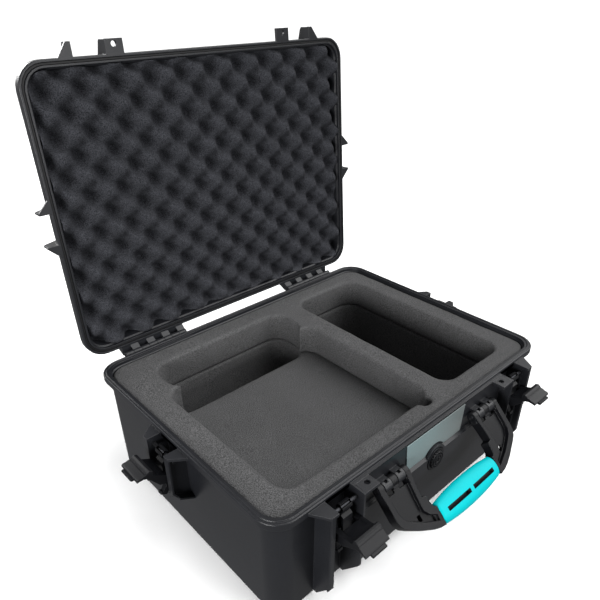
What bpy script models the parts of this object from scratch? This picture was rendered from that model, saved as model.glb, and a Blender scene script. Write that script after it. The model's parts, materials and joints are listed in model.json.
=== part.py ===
"""Hard equipment case: a moulded base and lid on two hinges, four double-throw latches,
a folding carry handle, a pressure valve and fitted foam. Shown open, with +X to the right,
+Y to the back and +Z up. The origin is the centre of the flat underside.
Lengths are in millimetres and become metres as each mesh is made."""

import math

import bmesh
import bpy
from mathutils import Matrix, Vector

MM = 0.001

# Overall size
RIM_HALF_X = 250.0
RIM_HALF_Y = 185.77
RIM_Z = 155.0
RIM_CORNER = 30.0
CORNER_SHRINK = 0.7
PARTING_GAP = 0.15
GAP = 0.3

# Lid hinges
HINGE_Y = 195.72
HINGE_Z = RIM_Z - 6.45
LID_OPEN_DEG = 94.1
HINGE_INNER_X = 102.0
HINGE_OUTER_X = 200.8
KNUCKLES = 8
KNUCKLE_R = 4.6
HINGE_PIN_R = 2.0

# Latches: out is measured outwards from the rim's edge and z from the rim's top
FRONT_LATCH_X = 164.2
LATCH_GAP = 18.2
LEVER_HALF = 17.8
ARM_INNER = 11.4
LINK_HALF = 7.0
LINK_LENGTH = 27.6
PIVOT_OUT = 10.0
PIVOT_Z = -14.5
PIVOT_PIN_R = 2.4
LINK_PIN_R = 2.0
LINK_HANG_DEG = -85.0
LEVER_REST_DEG = {"front_left": 8.0, "front_right": 23.0, "left": 30.0, "right": 8.0}
LEDGE_Z = -4.0
ROOF = 4.0

# Padlock holes, shared by the base tabs and the lid ears
PADLOCK_X = 131.0
PADLOCK_OUT = 10.8
PADLOCK_R = 3.4

# Carry handle
HANDLE_Y = -198.0
HANDLE_Z = RIM_Z - 29.0
HANDLE_REST_DEG = 44.5
HANDLE_INNER_X = 66.0
HANDLE_OUTER_X = 116.0
HANDLE_KNUCKLE_R = 7.0
HANDLE_LUG_R = 7.6
HANDLE_PIN_R = 2.5
HANDLE_LUGS = ((74.0, 86.0), (96.0, 108.0))
GRIP_HALF = 57.0
GRIP_REACH = 62.5
CORE_HALF = (5.0, 4.0)
FLANGE_HALF = 6.8
WEB_SPAN = (-1.2, 1.8)

# Front panel, valve and nameplate
PANEL_HALF = 144.0
PLATE_TOP_Z = -4.9
PLATE_BOTTOM_Z = -45.0
PLATE_FACE_Y = -191.6
PANEL_UPPER_Y = -190.4
PANEL_LOWER_Y = -195.0
VALVE_Z = -57.0
VALVE_BOSS_R = 20.0
VALVE_R = 16.0

# Foam
FOAM_TOP_Z = -4.5
UPPER_FOAM_BOTTOM_Z = -49.8
LOWER_FOAM_BOTTOM_Z = -120.0
FLOOR_Z = 4.0
POCKET_R = 22.0
RIGHT_POCKET = (76.0, 207.0, -150.0, 146.0)
DEVICE_POCKET = (-205.0, 45.0, -150.0, 83.0)
CABLE_POCKET = (-190.0, 36.0, 79.0, 143.0)


# ---------- meshes ----------

def solid(name, points, faces):
    """A closed body from points in millimetres, with its faces turned outwards."""
    mesh = bpy.data.meshes.new(name)
    mesh.from_pydata([Vector(p) * MM for p in points], [], faces)
    body = bmesh.new()
    body.from_mesh(mesh)
    bmesh.ops.recalc_face_normals(body, faces=body.faces)
    body.to_mesh(mesh)
    body.free()
    obj = bpy.data.objects.new(name, mesh)
    bpy.context.scene.collection.objects.link(obj)
    return obj


def stack(name, rings, loop=False):
    """A skin over rings of equal length, capped at both ends or closed into a loop."""
    count = len(rings[0])
    points = [p for ring in rings for p in ring]
    faces = []
    last = len(rings) if loop else len(rings) - 1
    for r in range(last):
        a, b = r * count, (r + 1) % len(rings) * count
        for i in range(count):
            j = (i + 1) % count
            faces.append((a + i, a + j, b + j, b + i))
    if not loop:
        faces.append(tuple(range(count)))
        faces.append(tuple(range(len(points) - count, len(points))))
    return solid(name, points, faces)


def extrude(name, outline, low, high, place):
    """outline is extruded from low to high; place(p, q, depth) gives each point in space."""
    return stack(name, [[place(p, q, d) for p, q in outline] for d in (low, high)])


def along_x(p, q, d):
    return (d, p, q)


def along_y(p, q, d):
    return (p, d, q)


def along_z(p, q, d):
    return (p, q, d)


def rectangle(p0, p1, q0, q1):
    return [(p0, q0), (p1, q0), (p1, q1), (p0, q1)]


def circle(p, q, radius, steps=24):
    turns = [2 * math.pi * (i + 0.5) / steps for i in range(steps)]
    return [(p + radius * math.cos(a), q + radius * math.sin(a)) for a in turns]


def rounded(p0, p1, q0, q1, radius, steps=6):
    """A rectangle with round corners."""
    centres = ((p1 - radius, q1 - radius), (p0 + radius, q1 - radius),
               (p0 + radius, q0 + radius), (p1 - radius, q0 + radius))
    outline = []
    for k, (p, q) in enumerate(centres):
        for i in range(steps + 1):
            a = math.radians(90 * (k + i / steps))
            outline.append((p + radius * math.cos(a), q + radius * math.sin(a)))
    return outline


def rim_ring(inset, z):
    """The case's outline in plan, inset from the rim's outer edge."""
    x, y = RIM_HALF_X - inset, RIM_HALF_Y - inset
    radius = RIM_CORNER - CORNER_SHRINK * inset
    return [(p, q, z) for p, q in rounded(-x, x, -y, y, radius)]


def boolean(target, tool, operation):
    """target is joined with tool, or cut by it, and tool is used up."""
    step = target.modifiers.new(operation, "BOOLEAN")
    step.operation = operation
    step.solver = "EXACT"
    step.object = tool
    graph = bpy.context.evaluated_depsgraph_get()
    mesh = bpy.data.meshes.new_from_object(target.evaluated_get(graph))
    target.modifiers.clear()
    target.data = mesh
    bpy.data.objects.remove(tool)


def join(target, tools):
    for tool in tools:
        boolean(target, tool, "UNION")


def cut(target, tools):
    for tool in tools:
        boolean(target, tool, "DIFFERENCE")


def finish(obj, material):
    """The object gets its material, and smooth shading up to its sharp edges."""
    obj.data.materials.clear()
    obj.data.materials.append(material)
    obj.data.shade_smooth()
    obj.data.set_sharp_from_angle(angle=math.radians(35))


def principled(name, colour, roughness, metallic=0.0):
    material = bpy.data.materials.new(name)
    material.use_nodes = True
    shader = material.node_tree.nodes["Principled BSDF"]
    shader.inputs["Base Color"].default_value = (*colour, 1.0)
    shader.inputs["Roughness"].default_value = roughness
    shader.inputs["Metallic"].default_value = metallic
    return material


def joint_empty(name, point, parent=None):
    """An empty on a joint's axis, at a point in millimetres."""
    empty = bpy.data.objects.new(name, None)
    bpy.context.scene.collection.objects.link(empty)
    empty.parent = parent
    empty.location = Vector(point) * MM
    return empty


def hang(obj, empty, point):
    """obj, built in place with the joint at zero, turns with the empty at point."""
    obj.data.transform(Matrix.Translation(-Vector(point) * MM))
    obj.parent = empty


# ---------- base ----------

BASE_PROFILE = (
    (14.3, 0.0), (10.6, 1.6), (9.3, 5.0), (7.6, RIM_Z - 11.5), (0.9, RIM_Z - 9.6), (0.0, RIM_Z - 8.6),
    (0.0, RIM_Z - 1.2), (0.8, RIM_Z - PARTING_GAP), (3.4, RIM_Z - PARTING_GAP), (3.7, RIM_Z + 1.0),
    (5.2, RIM_Z + 1.0), (5.5, RIM_Z - PARTING_GAP), (8.5, RIM_Z - PARTING_GAP), (9.0, RIM_Z - 0.7),
    (9.0, RIM_Z - 5.0), (10.5, RIM_Z - 6.0), (12.3, FLOOR_Z),
)


def hinge_spans(first):
    """The X spans of every second knuckle of one hinge, from the first one given."""
    pitch = (HINGE_OUTER_X - HINGE_INNER_X) / KNUCKLES
    for k in range(first, KNUCKLES, 2):
        yield HINGE_INNER_X + k * pitch + GAP / 2, HINGE_INNER_X + (k + 1) * pitch - GAP / 2


def hinge_knuckles(leaf, strip, first):
    """Knuckles on sloping leaves, and the strip that joins the leaves, for both hinges.
    leaf and strip are outlines in Y and in height above the rim."""
    leaf, strip = ([(y, RIM_Z + z) for y, z in outline] for outline in (leaf, strip))
    pieces = []
    for side in (-1, 1):
        ends = sorted((side * HINGE_INNER_X, side * HINGE_OUTER_X))
        pieces.append(extrude("strip", strip, *ends, along_x))
        for low, high in hinge_spans(first):
            ends = sorted((side * low, side * high))
            pieces.append(extrude("leaf", leaf, *ends, along_x))
            pieces.append(extrude("barrel", circle(HINGE_Y, HINGE_Z, KNUCKLE_R), *ends, along_x))
    return pieces


def hinge_bores():
    return [extrude("bore", circle(HINGE_Y, HINGE_Z, HINGE_PIN_R + GAP), side * 90.0, side * 215.0, along_x)
            for side in (-1, 1)]


def front_panel():
    """The raised front panel: a recess for the plate above, a prouder face below."""
    outline = [(-177.0, LEDGE_Z), (PANEL_UPPER_Y, LEDGE_Z), (PANEL_UPPER_Y, -46.0), (PANEL_LOWER_Y, -49.0),
               (PANEL_LOWER_Y, -130.0), (-193.4, -134.0), (-182.0, -149.0), (-177.0, -149.0)]
    outline = [(y, RIM_Z + z) for y, z in outline]
    panel = extrude("panel", outline, -PANEL_HALF, PANEL_HALF, along_x)
    boss = extrude("boss", circle(0, RIM_Z + VALVE_Z, VALVE_BOSS_R, 36), -180.0, PANEL_LOWER_Y, along_y)
    return [panel, boss]


def handle_lugs():
    """The base's knuckles for the handle, two on each side."""
    lugs = []
    for side in (-1, 1):
        for low, high in HANDLE_LUGS:
            ends = sorted((side * low, side * high))
            block = rectangle(HANDLE_Y, -185.0, HANDLE_Z - HANDLE_LUG_R + 0.4, HANDLE_Z + HANDLE_LUG_R - 0.4)
            lugs.append(extrude("lug", block, *ends, along_x))
            lugs.append(extrude("eye", circle(HANDLE_Y, HANDLE_Z, HANDLE_LUG_R), *ends, along_x))
    return lugs


def handle_lug_cuts():
    """The pin's bore through the lugs, and a small blind hole in the top of each."""
    cuts = []
    for side in (-1, 1):
        cuts.append(extrude("bore", circle(HANDLE_Y, HANDLE_Z, HANDLE_PIN_R + GAP),
                            side * 60.0, side * 120.0, along_x))
        for low, high in HANDLE_LUGS:
            ends = sorted((side * (low + 3.6), side * (high - 3.6)))
            hole = rectangle(HANDLE_Y - 3.0, HANDLE_Y + 1.6, HANDLE_Z + 4.2, HANDLE_Z + 9.0)
            cuts.append(extrude("hole", hole, *ends, along_x))
    return cuts


class Station:
    """Where a latch sits: a point on the rim's edge, and which way is outwards."""

    def __init__(self, name, x, y, outward):
        self.name = name
        self.centre = Vector((x, y, 0.0))
        self.outward = Vector(outward)
        self.tangent = self.outward.cross(Vector((0, 0, 1)))

    def point(self, t, out, z):
        return self.centre + self.tangent * t + self.outward * out + Vector((0, 0, RIM_Z + z))

    def across(self, p, q, d):
        """Places an outline in (out, z), extruded along the wall."""
        return tuple(self.point(d, p, q))

    def upright(self, p, q, d):
        """Places an outline in (t, out), extruded upwards."""
        return tuple(self.point(p, q, d))


STATIONS = (
    Station("front_left", -FRONT_LATCH_X, -RIM_HALF_Y, (0, -1, 0)),
    Station("front_right", FRONT_LATCH_X, -RIM_HALF_Y, (0, -1, 0)),
    Station("left", -RIM_HALF_X, 0.0, (-1, 0, 0)),
    Station("right", RIM_HALF_X, 0.0, (1, 0, 0)),
)


def outer_side(station):
    """The sign of t that points away from the middle of the front wall."""
    return 1 if station.name == "front_left" else -1


def mirrored(outline, sign):
    return [(sign * t, out) for t, out in outline]


def front_inner_cheek(station):
    """A web beside the latch, and a tab on top with the padlock hole."""
    s = -outer_side(station)
    web = [(-8.4, LEDGE_Z), (21.0, LEDGE_Z), (21.0, -116.0), (18.0, -121.0), (-4.0, -149.0), (-10.4, -149.0)]
    tab = mirrored(rectangle(LATCH_GAP, 42.7, 3.0, 21.0), s)
    return [extrude("web", web, s * LATCH_GAP, s * (LATCH_GAP + 2.8), station.across),
            extrude("tab", tab, LEDGE_Z - ROOF, LEDGE_Z - 0.01, station.upright)]


def front_outer_cheek(station):
    """A web, a fin along its outer edge and a roof that flares back to the rim."""
    s = outer_side(station)
    fin_in, fin_out = 22.3, 28.5
    block = [(-8.4, LEDGE_Z - 2), (13.0, LEDGE_Z - 2), (13.0, -114.0), (-4.0, -140.0), (-10.2, -140.0)]
    web = [(-8.4, LEDGE_Z - 2), (20.5, LEDGE_Z - 2), (20.5, -116.0), (17.0, -122.0), (-4.0, -149.5),
           (-10.4, -149.5)]
    edge = [(17.6, LEDGE_Z - 2), (20.9, LEDGE_Z - 2), (20.9, -115.5), (17.6, -122.0), (15.0, -120.0),
            (17.6, -114.0)]
    roof = mirrored([(LATCH_GAP, -2.0), (41.2, -2.0), (41.2, 0.0), (fin_out, 20.9), (LATCH_GAP, 20.9)], s)
    return [extrude("block", block, s * LATCH_GAP, s * (fin_in + 1), station.across),
            extrude("web", web, s * fin_in, s * (fin_in + 2), station.across),
            extrude("edge", edge, s * (fin_in + 0.5), s * fin_out, station.across),
            extrude("roof", roof, LEDGE_Z - ROOF, LEDGE_Z, station.upright)]


def side_cheek(station, s):
    """A shorter cheek for a side latch: web, outer edge, roof and floor."""
    web = [(-8.4, LEDGE_Z - 2), (17.6, LEDGE_Z - 2), (17.6, -60.0), (10.0, -70.0), (-9.4, -80.0)]
    edge = [(15.4, LEDGE_Z - 2), (18.2, LEDGE_Z - 2), (18.2, -59.0), (12.0, -68.5), (9.8, -67.0),
            (15.4, -58.5)]
    roof = mirrored([(LATCH_GAP, -2.0), (39.4, -2.0), (39.4, 0.0), (26.4, 18.2), (LATCH_GAP, 18.2)], s)
    floor = [(11.5, -66.0), (12.0, -68.5), (-9.0, -80.5), (-9.0, -77.5)]
    return [extrude("web", web, s * LATCH_GAP, s * (LATCH_GAP + 2.6), station.across),
            extrude("edge", edge, s * (LATCH_GAP + 0.2), s * 26.4, station.across),
            extrude("roof", roof, LEDGE_Z - ROOF, LEDGE_Z, station.upright),
            extrude("floor", floor, s * (LATCH_GAP + 0.4), s * 30.0, station.across)]


def base_cheeks():
    pieces = []
    for station in STATIONS[:2]:
        pieces += front_inner_cheek(station) + front_outer_cheek(station)
    for station in STATIONS[2:]:
        pieces += side_cheek(station, -1) + side_cheek(station, 1)
    return pieces


def pivot_bore(station):
    return extrude("bore", circle(PIVOT_OUT, PIVOT_Z, PIVOT_PIN_R + GAP, 16), -28.0, 28.0, station.across)


def padlock_cutters(low, high):
    return [extrude("hole", circle(side * PADLOCK_X, -RIM_HALF_Y - PADLOCK_OUT, PADLOCK_R, 16),
                    RIM_Z + low, RIM_Z + high, along_z) for side in (-1, 1)]


def valve_cutters():
    seat = extrude("seat", circle(0, RIM_Z + VALVE_Z, VALVE_R + GAP, 36), -200.0, -191.5, along_y)
    ring = extrude("ring", circle(0, RIM_Z + VALVE_Z, 8.5, 24), -195.0, -189.7, along_y)
    hole = extrude("hole", circle(0, RIM_Z + VALVE_Z, 6.0 + GAP, 20), -195.0, -170.0, along_y)
    return [seat, ring, hole]


def base_shell(material):
    shell = stack("base_shell", [rim_ring(inset, z) for inset, z in BASE_PROFILE])
    leaf = [(192.5, -9.5), (199.6, -9.0), (199.2, -12.0), (186.0, -38.0), (176.5, -41.0), (176.5, -3.0),
            (184.0, -2.8), (188.0, -6.0), (190.0, -8.6)]
    strip = [(176.5, -3.0), (184.0, -2.8), (188.0, -6.0), (189.6, -9.0), (192.3, -11.8), (196.5, -12.5),
             (197.0, -14.5), (185.6, -37.0), (176.5, -40.5)]
    join(shell, front_panel() + handle_lugs() + base_cheeks() + hinge_knuckles(leaf, strip, 1))
    cut(shell, [pivot_bore(station) for station in STATIONS])
    cut(shell, hinge_bores() + handle_lug_cuts() + padlock_cutters(-12.0, 0.5) + valve_cutters())
    finish(shell, material)


# ---------- lid, built closed and swung open on its hinge ----------

LID_PROFILE = (
    (32.0, 50.0), (21.5, 49.0), (16.0, 45.2), (14.2, 39.0), (9.6, 13.4), (9.2, 12.0), (0.8, 12.0),
    (0.0, 11.2), (0.0, 1.2), (0.8, PARTING_GAP), (3.0, PARTING_GAP), (3.1, 3.6), (6.2, 3.6),
    (6.3, PARTING_GAP), (8.6, PARTING_GAP), (9.0, 0.6), (9.0, 4.4), (10.9, 5.4), (15.8, 39.0),
    (18.0, 43.4), (25.0, 46.6),
)
LID_FOAM_PROFILE = ((24.8, 46.0), (18.7, 42.8), (16.4, 38.8), (11.5, 6.0), (9.6, 4.0), (9.6, 1.0), (10.4, -2.4))
LID_SEAL_PROFILE = ((3.5, 1.5), (5.8, 1.5), (5.8, 3.2), (3.5, 3.2))


def ear(station, s, plate, web_inner, web_outer, web):
    """A lid ear: a plate at the parting plane, and an upright web beside the latch."""
    return [extrude("plate", mirrored(plate, s), PARTING_GAP, 4.0, station.upright),
            extrude("web", web, s * web_inner, s * web_outer, station.across)]


def lid_ears():
    pieces = []
    foot = [(-8.0, 5.0), (-1.6, 5.0), (-1.6, 1.0)]
    tall = foot + [(16.0, 1.0), (16.5, 16.0), (14.0, 18.0), (-13.6, 31.0)]
    short = foot + [(15.6, 1.0), (16.0, 18.0), (13.0, 20.5), (-13.3, 29.0)]
    side_web = foot + [(13.2, 1.0), (13.5, 15.0), (11.0, 17.5), (-12.9, 27.0)]
    inner_plate = [(22.2, -2.0), (45.2, -2.0), (45.2, 16.5), (22.2, 16.5)]
    outer_plate = [(18.3, -2.0), (36.0, -2.0), (36.0, 0.0), (24.0, 16.0), (18.3, 16.0)]
    side_plate = [(19.5, -2.0), (36.0, -2.0), (36.0, 0.0), (22.4, 13.5), (19.5, 13.5)]
    for station in STATIONS[:2]:
        s = outer_side(station)
        pieces += ear(station, -s, inner_plate, 22.2, 25.2, tall)
        pieces += ear(station, s, outer_plate, 18.3, 21.2, short)
    for station in STATIONS[2:]:
        for s in (-1, 1):
            pieces += ear(station, s, side_plate, 19.5, 22.4, side_web)
    return pieces


def catch_cutters(station):
    """A notch in the flange that leaves a rib for the hooks, with a pocket behind it."""
    notch = rectangle(-9.1, 3.0, 8.5, 13.0)
    pocket = rectangle(-9.1, -4.5, 6.0, 9.0)
    return [extrude("cut", shape, -18.2, 18.2, station.across) for shape in (notch, pocket)]


def lid_joint():
    empty = joint_empty("lid_axis", (0, HINGE_Y, HINGE_Z))
    empty.rotation_euler = (-math.radians(LID_OPEN_DEG), 0, 0)
    return empty


def lid_pieces(shell_material, foam_material, rubber):
    axis = lid_joint()
    pivot = (0, HINGE_Y, HINGE_Z)
    shell = stack("lid_shell", [rim_ring(inset, RIM_Z + z) for inset, z in LID_PROFILE])
    leaf = [(195.0, -11.0), (200.3, -6.5), (199.4, 0.0), (187.0, 26.0), (172.6, 30.0), (177.6, 5.0),
            (184.4, 5.0), (184.4, 0.6), (186.3, 0.4), (191.2, -6.0)]
    strip = [(199.0, 0.8), (186.6, 25.6), (172.8, 29.2), (177.8, 5.2), (184.6, 5.2), (184.6, 0.8)]
    join(shell, lid_ears() + hinge_knuckles(leaf, strip, 0))
    for station in STATIONS:
        cut(shell, catch_cutters(station))
    cut(shell, hinge_bores() + padlock_cutters(-1.0, 8.0))
    foam = stack("lid_foam", [rim_ring(inset, RIM_Z + z) for inset, z in LID_FOAM_PROFILE])
    seal = stack("lid_seal", [rim_ring(inset, RIM_Z + z) for inset, z in LID_SEAL_PROFILE], loop=True)
    for obj, material in ((shell, shell_material), (foam, foam_material), (seal, rubber)):
        hang(obj, axis, pivot)
        finish(obj, material)


def hinge_pins(material):
    for name, side in (("hinge_pin_left", -1), ("hinge_pin_right", 1)):
        ends = sorted((side * (HINGE_INNER_X + 0.6), side * (HINGE_OUTER_X - 0.6)))
        finish(extrude(name, circle(HINGE_Y, HINGE_Z, HINGE_PIN_R, 16), *ends, along_x), material)


# ---------- latches ----------

LINK_OUTLINE = ((6.3, -3.6), (6.5, -0.6), (11.0, 5.0), (25.6, 3.8), (29.6, 3.3), (31.4, 0.0),
                (29.6, -3.2), (26.0, -3.6))
LEVER_TOP = ((45.6, -1.4), (44.2, 0.8), (41.4, 2.2), (38.8, 5.0), (36.6, 6.0), (35.6, 8.6), (34.0, 10.6),
             (30.6, 11.2), (28.8, 10.4), (27.6, 5.4), (20.0, 4.8))
LEVER_ARM = ((5.9, -21.4), (5.9, -18.0), (3.6, -17.9), (3.6, -8.5), (5.3, -6.6), (12.5, -8.0), (24.0, -2.6),
             (32.3, 1.5), (38.0, 0.6), (44.6, -3.6)) + LEVER_TOP + (
             (5.0, 5.2), (0.0, 5.2), (-3.6, 3.8), (-4.8, 0.0), (-3.9, -9.0), (-2.8, -21.2))
LEVER_PLATE = ((8.5, 2.6), (30.0, 2.3), (32.3, 1.5), (38.0, 0.6), (44.6, -3.6)) + LEVER_TOP + ((8.5, 5.1),)
LEVER_LIP = ((42.0, -3.0), (46.2, -5.4), (48.6, -5.0), (48.4, -2.6), (45.4, -1.6), (43.0, -0.6))
LIP_HALF = 10.5
CLIP_DEG = 145.0
CLIP_HALF = 2.0


def link_body(name):
    """The link clips on the pivot pin at its origin and holds the lever's pin at its end."""
    link = extrude(name, LINK_OUTLINE, -LINK_HALF, LINK_HALF, along_x)
    hub = extrude("hub", circle(0, 0, 5.2, 20), -LINK_HALF, LINK_HALF, along_x)
    neck = extrude("neck", rectangle(1.0, 8.0, -3.6, 1.5), -LINK_HALF, LINK_HALF, along_x)
    join(link, [hub, neck])
    bore = extrude("bore", circle(0, 0, PIVOT_PIN_R + GAP, 16), -9, 9, along_x)
    eye = extrude("eye", circle(LINK_LENGTH, 0, LINK_PIN_R + GAP, 16), -9, 9, along_x)
    turn = math.radians(CLIP_DEG)
    mouth = [(p * math.cos(turn) - q * math.sin(turn), p * math.sin(turn) + q * math.cos(turn))
             for p, q in rectangle(0.0, 9.0, -CLIP_HALF, CLIP_HALF)]
    cut(link, [bore, eye, extrude("mouth", mouth, -9, 9, along_x)])
    return link


def lever_body(name):
    """Two hooked arms beside the link, joined by the plate with the thumb tab."""
    lever = extrude(name, LEVER_PLATE, -ARM_INNER - 1, ARM_INNER + 1, along_x)
    for s in (-1, 1):
        ends = sorted((s * ARM_INNER, s * LEVER_HALF))
        join(lever, [extrude("arm", LEVER_ARM, *ends, along_x)])
    join(lever, [extrude("lip", LEVER_LIP, -LIP_HALF, LIP_HALF, along_x)])
    cut(lever, [extrude("eye", circle(0, 0, LINK_PIN_R + GAP, 16), -20, 20, along_x)])
    return lever


def latch(station, plastic, steel):
    """One latch: pivot pin on the base, link, link pin and lever, hanging open."""
    turn = Matrix((station.tangent, station.outward, Vector((0, 0, 1)))).transposed().to_4x4()
    base = joint_empty(f"latch_frame_{station.name}", station.point(0, PIVOT_OUT, PIVOT_Z))
    base.rotation_euler = turn.to_euler()
    pivot = extrude(f"latch_pivot_{station.name}", circle(0, 0, PIVOT_PIN_R, 16), -25.0, 25.0, along_x)
    if station.name.startswith("front"):
        short = extrude("trim", rectangle(-4, 4, -4, 4), -21.8 * outer_side(station),
                        -30.0 * outer_side(station), along_x)
        cut(pivot, [short])
    pivot.parent = base
    link_axis = joint_empty(f"link_axis_{station.name}", (0, 0, 0), base)
    link_axis.rotation_euler = (math.radians(LINK_HANG_DEG), 0, 0)
    link = link_body(f"latch_link_{station.name}")
    link.parent = link_axis
    lever_axis = joint_empty(f"lever_axis_{station.name}", (0, LINK_LENGTH, 0), link_axis)
    lever_axis.rotation_euler = (math.radians(LEVER_REST_DEG[station.name] - LINK_HANG_DEG), 0, 0)
    lever = lever_body(f"latch_lever_{station.name}")
    pin = extrude(f"latch_pin_{station.name}", circle(0, 0, LINK_PIN_R, 16), -16.5, 16.5, along_x)
    for obj in (lever, pin):
        obj.parent = lever_axis
    for obj, material in ((pivot, steel), (link, plastic), (lever, plastic), (pin, steel)):
        finish(obj, material)


# ---------- carry handle, drawn hanging in its own plane: x, reach from the pivot, height ----------

def handle_arm(side):
    """One side of the frame: web, inner and outer flanges, and its knuckles."""
    web = [(70.0, 3.0), (113.0, 3.0), (113.0, 40.0), (108.0, 48.0), (88.0, 61.5), (66.0, 70.0), (60.0, 70.0),
           (60.0, 57.0), (72.0, 48.0), (73.0, 30.0)]
    outer = [(109.4, 0.0), (116.0, 0.0), (116.0, 36.0), (114.8, 42.6), (111.0, 48.6), (104.0, 53.8),
             (86.0, 64.8), (76.0, 69.8), (67.0, 73.0), (57.3, 74.6), (57.3, 68.0), (62.5, 66.6), (83.4, 56.8),
             (98.0, 47.6), (103.6, 43.0), (107.4, 36.6), (108.6, 30.0)]
    inner = [(66.0, 0.0), (72.6, 0.0), (75.6, 30.0), (76.4, 46.6), (71.4, 54.0), (57.3, 62.4), (57.3, 53.6),
             (61.6, 48.6), (63.4, 42.0), (63.0, 35.0), (69.6, 33.6), (68.4, 18.0)]
    collar = rectangle(57.3, 62.4, 51.0, 73.4)
    hole = rectangle(80.6, 85.4, 48.4, 55.2)
    flange = (-FLANGE_HALF, FLANGE_HALF)
    pieces = []
    for outline, span in ((web, WEB_SPAN), (outer, flange), (inner, flange), (collar, flange)):
        outline = [(side * x, reach) for x, reach in outline]
        pieces.append(extrude("piece", outline, *span, along_z))
    cut(pieces[0], [extrude("hole", [(side * x, reach) for x, reach in hole], -4.0, 4.0, along_z)])
    spans = ((HANDLE_INNER_X, HANDLE_LUGS[0][0] - 0.4), (HANDLE_LUGS[0][1] + 0.4, HANDLE_LUGS[1][0] - 0.4),
             (HANDLE_LUGS[1][1] + 0.4, HANDLE_OUTER_X))
    for low, high in spans:
        ends = sorted((side * low, side * high))
        pieces.append(extrude("eye", circle(0, 0, HANDLE_KNUCKLE_R), *ends, along_x))
        pieces.append(extrude("root", rectangle(0.5, 9.0, -4.0, 4.0), *ends, along_x))
    return pieces


def handle_frame():
    core = rectangle(GRIP_REACH - CORE_HALF[0], GRIP_REACH + CORE_HALF[0], -CORE_HALF[1], CORE_HALF[1])
    frame = extrude("handle_frame", core, -66.0, 66.0, along_x)
    for side in (-1, 1):
        join(frame, handle_arm(side))
        for low, high in HANDLE_LUGS:
            ends = sorted((side * (low - 0.4), side * (high + 0.4)))
            cut(frame, [extrude("space", rectangle(-9.0, 12.4, -9.0, 9.0), *ends, along_x)])
        cut(frame, [extrude("bore", circle(0, 0, HANDLE_PIN_R + GAP, 16), side * 60.0, side * 120.0, along_x)])
    return frame


def handle_grip():
    """A soft lens-shaped sleeve over the frame's core bar."""
    rings = []
    steps = 12
    for k in range(steps + 1):
        x = -GRIP_HALF + 2 * GRIP_HALF * k / steps
        swell = math.sqrt(1 - (x / 75.0) ** 2)
        half_reach, half_height = 4.8 + 12.6 * swell, 4.0 + 6.0 * swell
        ring = [(x, GRIP_REACH + half_reach * math.cos(a), half_height * math.sin(a))
                for a in (2 * math.pi * i / 20 for i in range(20))]
        rings.append(ring)
    grip = stack("handle_grip", rings)
    c0, c1 = CORE_HALF[0] + GAP, CORE_HALF[1] + GAP
    hole = rectangle(GRIP_REACH - c0, GRIP_REACH + c0, -c1, c1)
    cut(grip, [extrude("hole", hole, -GRIP_HALF - 5.0, GRIP_HALF + 5.0, along_x)])
    return grip


def handle(plastic, rubber, steel):
    axis = joint_empty("handle_axis", (0, HANDLE_Y, HANDLE_Z))
    axis.rotation_euler = (math.radians(180 + HANDLE_REST_DEG), 0, 0)
    for obj, material in ((handle_frame(), plastic), (handle_grip(), rubber)):
        obj.parent = axis
        finish(obj, material)
    for name, side in (("handle_pin_left", -1), ("handle_pin_right", 1)):
        ends = sorted((side * (HANDLE_INNER_X + 0.5), side * (HANDLE_OUTER_X - 0.5)))
        finish(extrude(name, circle(HANDLE_Y, HANDLE_Z, HANDLE_PIN_R, 16), *ends, along_x), steel)


# ---------- nameplate and pressure valve ----------

def nameplate(material):
    top, bottom = 57.0, 54.0
    outline = [(-top, RIM_Z + PLATE_TOP_Z), (top, RIM_Z + PLATE_TOP_Z), (bottom, RIM_Z + PLATE_BOTTOM_Z),
               (-bottom, RIM_Z + PLATE_BOTTOM_Z)]
    plate = extrude("nameplate", outline, PANEL_UPPER_Y - GAP, PLATE_FACE_Y, along_y)
    arch = circle(0, RIM_Z + VALVE_Z, VALVE_BOSS_R + 2.0, 36)
    cut(plate, [extrude("arch", arch, -200.0, -180.0, along_y)])
    finish(plate, material)


def turned(name, profile, steps=36):
    """A body turned about the valve's axis. profile is in (radius, Y) and has no point on the axis."""
    rings = [[(x, y, z) for x, z in circle(0, RIM_Z + VALVE_Z, r, steps)] for r, y in profile]
    return stack(name, rings)


def valve(plastic, rubber):
    """A threaded body in the wall with its seal, and the ridged knob that opens it."""
    body = turned("valve_body", ((15.8, -191.8), (15.8, -195.4), (14.8, -196.0), (12.6, -196.0), (12.6, -194.2),
                                 (4.0, -194.2)))
    stem = extrude("stem", circle(0, RIM_Z + VALVE_Z, 6.0, 20), -192.5, -176.0, along_y)
    join(body, [stem])
    knob = turned("valve_knob", ((12.2, -194.5), (12.2, -197.4), (11.2, -198.4), (3.0, -198.8)))
    flutes = 18
    for k in range(flutes):
        a = 2 * math.pi * k / flutes
        groove = circle(12.9 * math.cos(a), RIM_Z + VALVE_Z + 12.9 * math.sin(a), 1.3, 8)
        cut(knob, [extrude("flute", groove, -200.0, -194.0, along_y)])
    seal = stack("valve_seal", [[(x, y, z) for x, z in circle(0, RIM_Z + VALVE_Z, r, 24)]
                                for r, y in ((6.6, -190.0), (8.2, -190.0), (8.2, -191.2), (6.6, -191.2))],
                 loop=True)
    for obj, material in ((body, plastic), (knob, plastic), (seal, rubber)):
        finish(obj, material)


# ---------- base foam ----------

def pocket(bounds, low, high):
    return extrude("pocket", rounded(*bounds, POCKET_R), RIM_Z + low, RIM_Z + high, along_z)


def foam_layer(name, insets, low, high):
    return stack(name, [rim_ring(insets[0], RIM_Z + low), rim_ring(insets[1], RIM_Z + high)])


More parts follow.
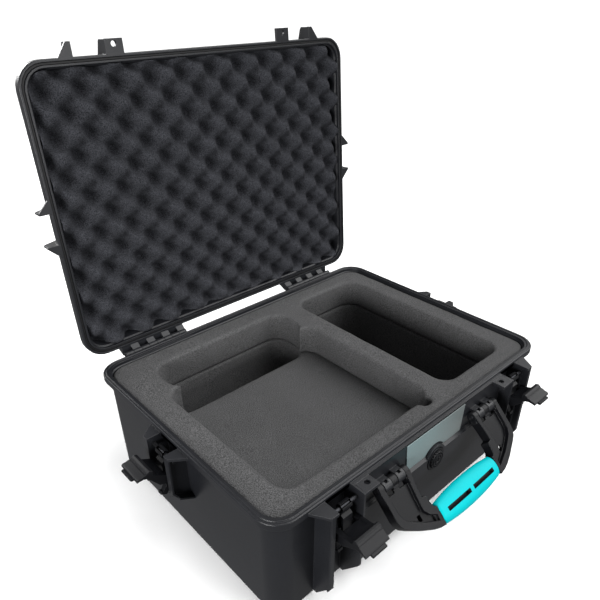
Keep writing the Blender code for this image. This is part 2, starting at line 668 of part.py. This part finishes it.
def base_foam(material):
    upper = foam_layer("foam_upper", (11.5, 10.9), UPPER_FOAM_BOTTOM_Z, FOAM_TOP_Z - 1.6)
    top = foam_layer("top", (10.9, 9.4), FOAM_TOP_Z - 1.7, FOAM_TOP_Z)
    join(upper, [top])
    notch = extrude("notch", circle(26.0, DEVICE_POCKET[2], 11.0, 20), RIM_Z - 60.0, RIM_Z, along_z)
    cut(upper, [pocket(RIGHT_POCKET, -60.0, 0.0), pocket(DEVICE_POCKET, -60.0, 0.0),
                pocket(CABLE_POCKET, -60.0, 0.0), notch])
    lower = foam_layer("foam_lower", (12.4, 11.6), LOWER_FOAM_BOTTOM_Z, UPPER_FOAM_BOTTOM_Z - GAP)
    cut(lower, [pocket(RIGHT_POCKET, -130.0, -40.0), pocket(CABLE_POCKET, -130.0, -40.0)])
    pad = foam_layer("foam_pad", (12.8, 12.5), FLOOR_Z + GAP - RIM_Z, LOWER_FOAM_BOTTOM_Z - GAP)
    for obj in (upper, lower, pad):
        finish(obj, material)


def build():
    for obj in list(bpy.data.objects):
        bpy.data.objects.remove(obj)
    case = principled("case_plastic", (0.022, 0.023, 0.025), 0.5)
    latch_plastic = principled("latch_plastic", (0.03, 0.03, 0.033), 0.42)
    foam = principled("foam", (0.035, 0.035, 0.037), 0.95)
    seal = principled("seal_rubber", (0.015, 0.015, 0.015), 0.7)
    teal = principled("grip_rubber", (0.01, 0.55, 0.52), 0.5)
    steel = principled("pin_steel", (0.6, 0.6, 0.6), 0.3, 1.0)
    plate = principled("nameplate_film", (0.3, 0.38, 0.38), 0.25)
    base_shell(case)
    lid_pieces(case, foam, seal)
    hinge_pins(steel)
    for station in STATIONS:
        latch(station, latch_plastic, steel)
    handle(latch_plastic, teal, steel)
    nameplate(plate)
    valve(latch_plastic, seal)
    base_foam(foam)


build()
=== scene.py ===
"""Looks of the hard equipment case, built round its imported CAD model. Lengths in mm until a mesh is made."""
import json
import math

import bmesh
import bpy
import numpy as np
from mathutils import Matrix, Vector, noise

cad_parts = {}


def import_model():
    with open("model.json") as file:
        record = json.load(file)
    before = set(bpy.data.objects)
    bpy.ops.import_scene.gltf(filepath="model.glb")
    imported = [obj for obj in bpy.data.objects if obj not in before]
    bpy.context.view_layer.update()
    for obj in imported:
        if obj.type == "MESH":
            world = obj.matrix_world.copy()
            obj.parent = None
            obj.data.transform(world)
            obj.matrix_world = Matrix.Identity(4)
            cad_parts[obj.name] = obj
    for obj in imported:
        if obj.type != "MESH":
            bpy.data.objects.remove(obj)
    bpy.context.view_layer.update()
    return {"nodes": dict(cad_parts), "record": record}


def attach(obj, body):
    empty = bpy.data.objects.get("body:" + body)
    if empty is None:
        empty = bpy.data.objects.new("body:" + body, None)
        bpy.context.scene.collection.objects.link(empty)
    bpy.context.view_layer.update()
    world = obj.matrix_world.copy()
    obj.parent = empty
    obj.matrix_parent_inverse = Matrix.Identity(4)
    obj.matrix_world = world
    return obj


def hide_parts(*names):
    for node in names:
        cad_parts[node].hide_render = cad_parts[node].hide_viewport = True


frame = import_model()

MM = 0.001
RIM_Z = 155.0
RIM_HALF_X, RIM_HALF_Y = 250.0, 185.77
HINGE = Vector((0.0, 195.72, 148.55))
LID_TURN = Matrix.Rotation(math.radians(-94.1), 4, "X")
LID_OPEN = Matrix.Translation(HINGE) @ LID_TURN @ Matrix.Translation(-HINGE)
HANDLE = Matrix.Translation((0.0, -198.0, 126.0)) @ Matrix.Rotation(math.radians(224.5), 4, "X")
FLAT_DEG = 1.0       # faces that turn less than this are one face
SHARP_DEG = 32.0     # edges that turn more than this are rounded


# ---------- materials ----------

def link_up(tree, source, target):
    tree.links.new(source, target)


def node(tree, kind, **values):
    made = tree.nodes.new(kind)
    for key, value in values.items():
        if key in made.inputs:
            made.inputs[key].default_value = value
        else:
            setattr(made, key, value)
    return made


def ramp(tree, factor, stops):
    made = tree.nodes.new("ShaderNodeValToRGB")
    elements = made.color_ramp.elements
    while len(elements) < len(stops):
        elements.new(0.5)
    for element, (place, colour) in zip(elements, stops):
        element.position = place
        element.color = (*colour, 1.0)
    link_up(tree, factor, made.inputs["Fac"])
    return made.outputs["Color"]


def blended(tree, kind, first, second):
    """Two colours multiplied or added."""
    made = node(tree, "ShaderNodeMix", data_type="RGBA", blend_type=kind)
    made.inputs[0].default_value = 1.0
    link_up(tree, first, made.inputs[6])
    link_up(tree, second, made.inputs[7])
    return made.outputs[2]


def grained(name, colour, roughness, grain=900.0, depth=0.04, spread=0.12, metallic=0.0, edge_highlight=0.0,
            specular=0.5, mottle_and_glint=0.0, broad=16.0):
    """A material with soft colour and roughness variation, a painted highlight on its sharp edges, a fine
    grain and, where set, a fine mottle whose bright specks are painted glints, all from nodes.
    """
    material = bpy.data.materials.new(name)
    material.use_nodes = True
    tree = material.node_tree
    shader = tree.nodes["Principled BSDF"]
    shader.inputs["Metallic"].default_value = metallic
    shader.inputs["Specular IOR Level"].default_value = specular
    where = tree.nodes.new("ShaderNodeTexCoord").outputs["Object"]
    wide = node(tree, "ShaderNodeTexNoise", Scale=broad, Detail=4.0, Roughness=0.6)
    fine = node(tree, "ShaderNodeTexNoise", Scale=grain, Detail=2.0, Roughness=0.5)
    for texture in (wide, fine):
        link_up(tree, where, texture.inputs["Vector"])
    low = tuple(c * (1 - spread) for c in colour)
    high = tuple(min(1.0, c * (1 + spread)) for c in colour)
    tint = ramp(tree, wide.outputs["Fac"], [(0.3, low), (0.7, high)])
    # Fine mottle: fine noise scales the colour up and down, and its bright specks are painted glints of the
    # foam's cells.
    if mottle_and_glint:
        mottle_and_glint_spots = ramp(tree, fine.outputs["Fac"], [(0.36, (1 - mottle_and_glint,) * 3), (0.64, (1 + mottle_and_glint,) * 3)])
        tint = blended(tree, "MULTIPLY", tint, mottle_and_glint_spots)
    # Painted highlight: edges with high pointiness get a lighter colour added, standing in for the light that
    # sharp edges catch.
    if edge_highlight:
        edge_highlight_tint = ramp(tree, tree.nodes.new("ShaderNodeNewGeometry").outputs["Pointiness"],
                    [(0.52, (0, 0, 0)), (0.60, (edge_highlight,) * 3)])
        tint = blended(tree, "ADD", tint, edge_highlight_tint)
    link_up(tree, tint, shader.inputs["Base Color"])
    smooth, rough = roughness * 0.88, min(1.0, roughness * 1.12)
    shine = ramp(tree, wide.outputs["Fac"], [(0.25, (smooth,) * 3), (0.75, (rough,) * 3)])
    link_up(tree, shine, shader.inputs["Roughness"])
    bump = node(tree, "ShaderNodeBump", Strength=1.0, Distance=depth * MM)
    link_up(tree, fine.outputs["Fac"], bump.inputs["Height"])
    link_up(tree, bump.outputs["Normal"], shader.inputs["Normal"])
    return material


# The small edge value on the plastics is the strength of the painted highlight on their sharp edges.
CASE = grained("case_plastic_look", (0.0096, 0.0102, 0.0122), 0.36, grain=700.0, depth=0.10, edge_highlight=0.006,
               specular=0.30)
LATCH = grained("latch_plastic_look", (0.0034, 0.0036, 0.0046), 0.36, grain=900.0, depth=0.05, edge_highlight=0.006,
                specular=0.16)
# The foams' strong fine mottle carries painted glints in its bright specks.
FOAM = grained("base_foam_look", (0.068, 0.068, 0.069), 0.95, grain=860.0, depth=0.9, spread=0.08,
               specular=0.1, mottle_and_glint=0.50)
LID_FOAM = grained("lid_foam_look", (0.054, 0.055, 0.060), 0.95, grain=860.0, depth=1.1, spread=0.08,
                   specular=0.1, mottle_and_glint=0.65)
SEAL = grained("seal_rubber_look", (0.006, 0.006, 0.0065), 0.5, grain=600.0, depth=0.04, specular=0.3)
TEAL = grained("grip_rubber_look", (0.0, 0.39, 0.42), 0.42, grain=1100.0, depth=0.05, spread=0.05,
               specular=0.08)
STEEL = grained("pin_steel_look", (0.040, 0.041, 0.045), 0.50, grain=1500.0, depth=0.01, spread=0.05,
                metallic=1.0)
PLATE = grained("nameplate_film_look", (0.150, 0.200, 0.205), 0.34, grain=1500.0, depth=0.02, spread=0.05,
                specular=0.4)


def fade(material, axis, low, high, stops):
    """Tints a material along one axis, from low to high in metres."""
    tree = material.node_tree
    shader = tree.nodes["Principled BSDF"]
    where = tree.nodes.new("ShaderNodeTexCoord")
    parts = tree.nodes.new("ShaderNodeSeparateXYZ")
    spread = node(tree, "ShaderNodeMapRange")
    spread.inputs["From Min"].default_value = low
    spread.inputs["From Max"].default_value = high
    link_up(tree, where.outputs["Object"], parts.inputs[0])
    link_up(tree, parts.outputs[axis], spread.inputs["Value"])
    tint = ramp(tree, spread.outputs["Result"], stops)
    plain = shader.inputs["Base Color"].links[0].from_socket
    link_up(tree, blended(tree, "MULTIPLY", plain, tint), shader.inputs["Base Color"])


fade(PLATE, "X", -57.0 * MM, 57.0 * MM,
     [(0.0, (1.0, 1.0, 1.0)), (0.45, (0.92, 0.88, 0.87)), (1.0, (0.72, 0.60, 0.58))])
# Painted shade and light on the lid foam: its colour is scaled along Z, lighter below RIM_Z - 2 mm and darker
# above RIM_Z + 21 mm, standing in for the shade deep in the egg-crate's pits.
fade(LID_FOAM, "Z", (RIM_Z - 2.0) * MM, (RIM_Z + 21.0) * MM,
     [(0.0, (1.14, 1.15, 1.18)), (0.3, (1.0, 1.01, 1.04)), (1.0, (0.52, 0.53, 0.56))])


# ---------- making pieces ----------

def put(name, body, material, ride, nodes, place=None):
    """A bmesh in millimetres becomes a named piece on its CAD body, in place of the nodes."""
    if place is not None:
        body.transform(place)
    body.transform(Matrix.Scale(MM, 4))
    bmesh.ops.recalc_face_normals(body, faces=body.faces)
    mesh = bpy.data.meshes.new(name)
    body.to_mesh(mesh)
    body.free()
    mesh.shade_smooth()
    obj = bpy.data.objects.new(name, mesh)
    bpy.context.scene.collection.objects.link(obj)
    obj.data.materials.append(material)
    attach(obj, ride)
    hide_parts(*nodes)
    return obj


def level(obj):
    """Flat faces shade flat and only the rounded edges turn."""
    step = obj.modifiers.new("normals", "WEIGHTED_NORMAL")
    step.weight = 60
    step.keep_sharp = True
    return obj


def body_of_node(name):
    bodies = frame["record"]["behaviour"]["bodies"]
    return next(body for body, names in bodies.items() if name in names)


def from_node(name):
    """A CAD node's mesh in millimetres, with its flat faces joined up again."""
    body = bmesh.new()
    body.from_mesh(frame["nodes"][name].data)
    body.transform(Matrix.Scale(1 / MM, 4))
    bmesh.ops.remove_doubles(body, verts=body.verts, dist=1e-4)
    bmesh.ops.dissolve_limit(body, angle_limit=math.radians(FLAT_DEG), verts=body.verts, edges=body.edges)
    return body


def round_edges(body, width):
    body.normal_update()
    sharp = [e for e in body.edges if len(e.link_faces) == 2
             and e.calc_face_angle(0.0) > math.radians(SHARP_DEG) and e.calc_length() > 0.2]
    bmesh.ops.bevel(body, geom=sharp, offset=width, offset_type="OFFSET", segments=2, profile=0.6,
                    affect="EDGES", clamp_overlap=False)
    bmesh.ops.remove_doubles(body, verts=body.verts, dist=1e-3)
    bmesh.ops.dissolve_degenerate(body, dist=1e-3, edges=body.edges)


def refined(name, width, material):
    """A copy of a CAD node with its edges rounded stands for it."""
    body = from_node(name)
    round_edges(body, width)
    return level(put(f"{name}_look", body, material, body_of_node(name), (name,)))


# ---------- lid foam: an egg-crate sheet ----------

VALLEY = np.array([-176.3, -151.9])
STEP_A = np.array([24.44, 23.82])
STEP_B = np.array([-21.55, 25.55])
PEAK_Z, PIT_DEPTH, PIT_POWER = -1.8, 24.0, 1.15
CHANNEL = 0.58       # share of the wave that runs along the channels
LID_FOAM_INSET, LID_FOAM_CORNER, LID_FOAM_BACK = 9.9, 23.0, 43.0
LID_FOAM_COLUMNS, LID_FOAM_ROWS = 200, 152


def egg_height(x, y):
    """Height of the lid foam's face in the closed lid: valleys on a slanted lattice, peaks between them."""
    s, t = np.linalg.solve(np.stack([STEP_A, STEP_B], 1), np.array([x, y]) - VALLEY)
    wave = (1 - CHANNEL) * math.cos(2 * math.pi * s) + CHANNEL * math.cos(2 * math.pi * t)
    return PEAK_Z + PIT_DEPTH * ((1 + wave) / 2) ** PIT_POWER


def plan_grid(inset, radius, columns, rows):
    """Rows of points that fill a rectangle with round corners."""
    half_x, half_y = RIM_HALF_X - inset, RIM_HALF_Y - inset
    grid = []
    for r in range(rows + 1):
        y = half_y * (2 * r / rows - 1)
        past = abs(y) - (half_y - radius)
        width = half_x if past <= 0 else half_x - radius + math.sqrt(max(0.0, radius ** 2 - past ** 2))
        grid.append([(width * (2 * c / columns - 1), y) for c in range(columns + 1)])
    return grid


def edge_loop(sheet):
    """The outer points of a grid of rows, in order round it."""
    right = [row[-1] for row in sheet[1:-1]]
    left = [row[0] for row in sheet[-2:0:-1]]
    return sheet[0] + right + sheet[-1][::-1] + left


def lid_foam():
    body = bmesh.new()
    face, back = [], []
    for line in plan_grid(LID_FOAM_INSET, LID_FOAM_CORNER, LID_FOAM_COLUMNS, LID_FOAM_ROWS):
        front_row, back_row = [], []
        for x, y in line:
            height = egg_height(x, y) + 0.8 * noise.noise(Vector((x, y, 0)) * 0.05)
            front_row.append(body.verts.new((x, y, RIM_Z + height)))
            back_row.append(body.verts.new((x * 0.945, y * 0.93, RIM_Z + LID_FOAM_BACK)))
        face.append(front_row)
        back.append(back_row)
    for sheet in (face, back):
        for row, after in zip(sheet, sheet[1:]):
            for c in range(LID_FOAM_COLUMNS):
                body.faces.new((row[c], row[c + 1], after[c + 1], after[c]))
    front_loop, back_loop = edge_loop(face), edge_loop(back)
    for i in range(len(front_loop)):
        body.faces.new((front_loop[i - 1], front_loop[i], back_loop[i], back_loop[i - 1]))
    piece = put("lid_foam_eggcrate", body, LID_FOAM, "lid", ("lid_foam",), LID_OPEN)


# ---------- base foam: cut layers with soft edges ----------

def soft_layer(name, node_name, voxel, wave):
    """A foam layer remeshed evenly, so that its cut edges are soft and its faces uneven."""
    body = from_node(node_name)
    mesh = bpy.data.meshes.new("layer")
    body.to_mesh(mesh)
    body.free()
    work = bpy.data.objects.new("layer", mesh)
    bpy.context.scene.collection.objects.link(work)
    step = work.modifiers.new("remesh", "REMESH")
    step.mode = "VOXEL"
    step.voxel_size = voxel
    smooth = work.modifiers.new("smooth", "SMOOTH")
    smooth.factor = 0.5
    smooth.iterations = 3
    graph = bpy.context.evaluated_depsgraph_get()
    body = bmesh.new()
    body.from_mesh(bpy.data.meshes.new_from_object(work.evaluated_get(graph)))
    bpy.data.objects.remove(work)
    body.normal_update()
    for v in body.verts:
        swell = noise.noise(v.co * 0.035) + 0.5 * noise.noise(v.co * 0.11)
        v.co += v.normal * (wave * (swell - 0.6))
    piece = put(name, body, FOAM, "base", (node_name,))


# ---------- handle grip ----------

GRIP_HALF, GRIP_REACH = 57.0, 62.5
GRIP_STEP, GRIP_LIP = 1.5, 1.1
SLOT_FROM, SLOT_TO, SLOT_HALF, SLOT_DEPTH = 3.4, 46.0, 2.4, 6.0
SLOT_WALL = 0.3


def slot_depth(x, across):
    """How far a point sinks into the long slots in the grip's two faces."""
    along = min(abs(x) - SLOT_FROM, SLOT_TO - abs(x))
    side = SLOT_HALF - abs(across)
    inside = min(along, side)
    return SLOT_DEPTH * min(1.0, max(0.0, inside / 0.5 + 0.5))


def grip_sizes(x):
    """Half sizes of the grip across its reach and its height, at x."""
    end = min(1.0, (GRIP_HALF - abs(x)) / GRIP_STEP)
    lip = GRIP_LIP * (1 - math.sqrt(max(0.0, end * (2 - end))))
    swell = math.sqrt(1 - (x / 75.0) ** 2)
    return 4.8 + 12.6 * swell - lip, 4.0 + 6.0 * swell - lip


def grip_surface(x, across):
    half_reach, half_height = grip_sizes(x)
    return half_height * max(0.0, 1 - (abs(across) / half_reach) ** 2.4) ** 0.6


def grip():
    """A lens-shaped rubber sleeve, fuller in the middle, with a long slot either side of a bridge."""
    body = bmesh.new()
    rings = []
    even = {-GRIP_HALF + GRIP_STEP * k for k in range(int(2 * GRIP_HALF / GRIP_STEP) + 1)}
    slots = {end + side for end in (SLOT_FROM, SLOT_TO) for side in (-SLOT_WALL, SLOT_WALL)}
    for x in sorted(even | slots | {-x for x in slots}):
        half_reach = grip_sizes(x)[0]
        reaches = [-1, -0.985, -0.95, -0.88, -0.78, -0.66, -0.52, -0.38, -0.27]
        reaches = [half_reach * r for r in reaches] + [-SLOT_HALF - SLOT_WALL, -SLOT_HALF + SLOT_WALL,
                                                     -SLOT_HALF * 0.4]
        reaches += [-r for r in reversed(reaches)]
        top = [(GRIP_REACH + r, grip_surface(x, r) - slot_depth(x, r)) for r in reaches]
        ring = top + [(r, -h) for r, h in top[-2:0:-1]]
        rings.append([body.verts.new((x, r, h)) for r, h in ring])
    around = len(rings[0])
    for a, b in zip(rings, rings[1:]):
        for i in range(around):
            j = (i + 1) % around
            body.faces.new((a[i], a[j], b[j], b[i]))
    body.faces.new(rings[0])
    body.faces.new(rings[-1][::-1])
    piece = put("handle_grip_look", body, TEAL, "handle", ("handle_grip",), HANDLE)
    piece.data.set_sharp_from_angle(angle=math.radians(50))
    piece.data.materials.append(SEAL)
    to_handle = HANDLE.inverted()
    for face in piece.data.polygons:
        x, reach, height = to_handle @ (face.center / MM)
        if abs(reach - GRIP_REACH) < 5.0 and abs(height) < grip_surface(x, reach - GRIP_REACH) - 0.9:
            face.material_index = 1


# ---------- valve ----------

VALVE_Z = RIM_Z - 57.0
KNOB_FLUTES, FLUTE_DEPTH, FLUTE_FROM = 20, 0.9, 0.85
KNOB_PROFILE = [(12.2, -194.5), (12.2, -197.2), (11.7, -198.1), (10.9, -198.4), (10.2, -198.2), (9.9, -197.3),
                (9.0, -197.3), (8.7, -198.5), (8.3, -198.7), (7.0, -198.7), (6.6, -198.5), (6.4, -197.4),
                (5.5, -197.4), (5.2, -198.6), (4.9, -198.8), (3.2, -198.8), (2.9, -198.4), (2.6, -197.8),
                (0.6, -197.8)]


def valve_knob():
    """A disc of ridges turned about the valve's axis, fluted round its edge. The profile is radius and Y."""
    body = bmesh.new()
    around = KNOB_FLUTES * 8
    widest = KNOB_PROFILE[0][0]
    rings = []
    for radius, y in KNOB_PROFILE:
        near_edge = max(0.0, (radius / widest - FLUTE_FROM) / (1 - FLUTE_FROM))
        ring = []
        for i in range(around):
            a = 2 * math.pi * i / around
            r = radius - FLUTE_DEPTH * near_edge * (0.5 - 0.5 * math.cos(KNOB_FLUTES * a))
            ring.append(body.verts.new((r * math.cos(a), y, VALVE_Z + r * math.sin(a))))
        rings.append(ring)
    for a, b in zip(rings, rings[1:]):
        for i in range(around):
            j = (i + 1) % around
            body.faces.new((a[i], a[j], b[j], b[i]))
    body.faces.new(rings[0])
    body.faces.new(rings[-1])
    piece = put("valve_knob_look", body, LATCH, "valve", ("valve_knob",))
    piece.data.set_sharp_from_angle(angle=math.radians(40))


# ---------- building it ----------

refined("base_shell", 0.45, CASE)
refined("lid_shell", 0.45, CASE)
refined("handle_frame", 0.8, LATCH)
for station in ("front_left", "front_right", "left", "right"):
    refined(f"latch_lever_{station}", 0.4, LATCH)
    refined(f"latch_link_{station}", 0.35, LATCH)
    refined(f"latch_pivot_{station}", 0.3, STEEL)
    refined(f"latch_pin_{station}", 0.3, STEEL)
refined("valve_body", 0.3, LATCH)
valve_knob()
refined("nameplate", 0.25, PLATE)
for side in ("left", "right"):
    refined(f"hinge_pin_{side}", 0.3, STEEL)
    refined(f"handle_pin_{side}", 0.3, STEEL)
refined("lid_seal", 0.3, SEAL)
refined("valve_seal", 0.2, SEAL)
lid_foam()
soft_layer("foam_upper_cut", "foam_upper", 2.6, 0.35)
soft_layer("foam_lower_cut", "foam_lower", 3.2, 0.35)
soft_layer("foam_pad_sheet", "foam_pad", 3.4, 0.3)
grip()


# ---------- floor, lights, camera ----------

def floor():
    body = bmesh.new()
    bmesh.ops.create_grid(body, x_segments=1, y_segments=1, size=60.0)
    mesh = bpy.data.meshes.new("floor")
    body.to_mesh(mesh)
    body.free()
    obj = bpy.data.objects.new("floor", mesh)
    bpy.context.scene.collection.objects.link(obj)
    look = grained("floor_look", (0.95, 0.95, 0.95), 0.8, grain=300.0, depth=0.02, spread=0.01)
    obj.data.materials.append(look)
    obj.visible_diffuse = False
    obj.visible_glossy = False


def area_light(name, place, target, size, power):
    lamp = bpy.data.lights.new(name, "AREA")
    lamp.shape = "RECTANGLE"
    lamp.size, lamp.size_y = size
    lamp.energy = power
    obj = bpy.data.objects.new(name, lamp)
    bpy.context.scene.collection.objects.link(obj)
    obj.location = place
    obj.rotation_euler = (Vector(target) - Vector(place)).to_track_quat("-Z", "Y").to_euler()


def sun_light(name, towards, strength, spread):
    lamp = bpy.data.lights.new(name, "SUN")
    lamp.energy = strength
    lamp.angle = math.radians(spread)
    obj = bpy.data.objects.new(name, lamp)
    bpy.context.scene.collection.objects.link(obj)
    obj.rotation_euler = Vector(towards).to_track_quat("Z", "Y").to_euler()


def camera():
    data = bpy.data.cameras.new("camera")
    data.lens = 34.658
    data.sensor_width = 36.0
    data.shift_x = -0.00567
    data.shift_y = 0.04241
    data.clip_start = 0.01
    obj = bpy.data.objects.new("camera", data)
    bpy.context.scene.collection.objects.link(obj)
    obj.location = (-0.47597, -0.47268, 0.60052)
    obj.rotation_euler = tuple(math.radians(a) for a in (59.3191, 0.0151, -42.6461))
    bpy.context.scene.camera = obj


def world():
    made = bpy.data.worlds.new("studio")
    bpy.context.scene.world = made
    made.use_nodes = True
    back = made.node_tree.nodes["Background"]
    back.inputs["Color"].default_value = (1.0, 1.0, 1.0, 1.0)
    back.inputs["Strength"].default_value = 0.26


floor()
world()
sun_light("key", (0.72, -0.32, 1.0), 4.4, 70.0)
area_light("side", (-2.1, -0.7, 0.5), (0.0, 0.0, 0.05), (1.2, 0.6), 60.0)
area_light("front", (0.5, -2.2, 0.55), (0.0, 0.0, 0.05), (1.4, 0.5), 22.0)
area_light("back", (-0.6, 2.4, 1.3), (0.0, 0.2, 0.2), (1.6, 0.8), 60.0)
camera()
bpy.context.scene.view_settings.view_transform = "Standard"
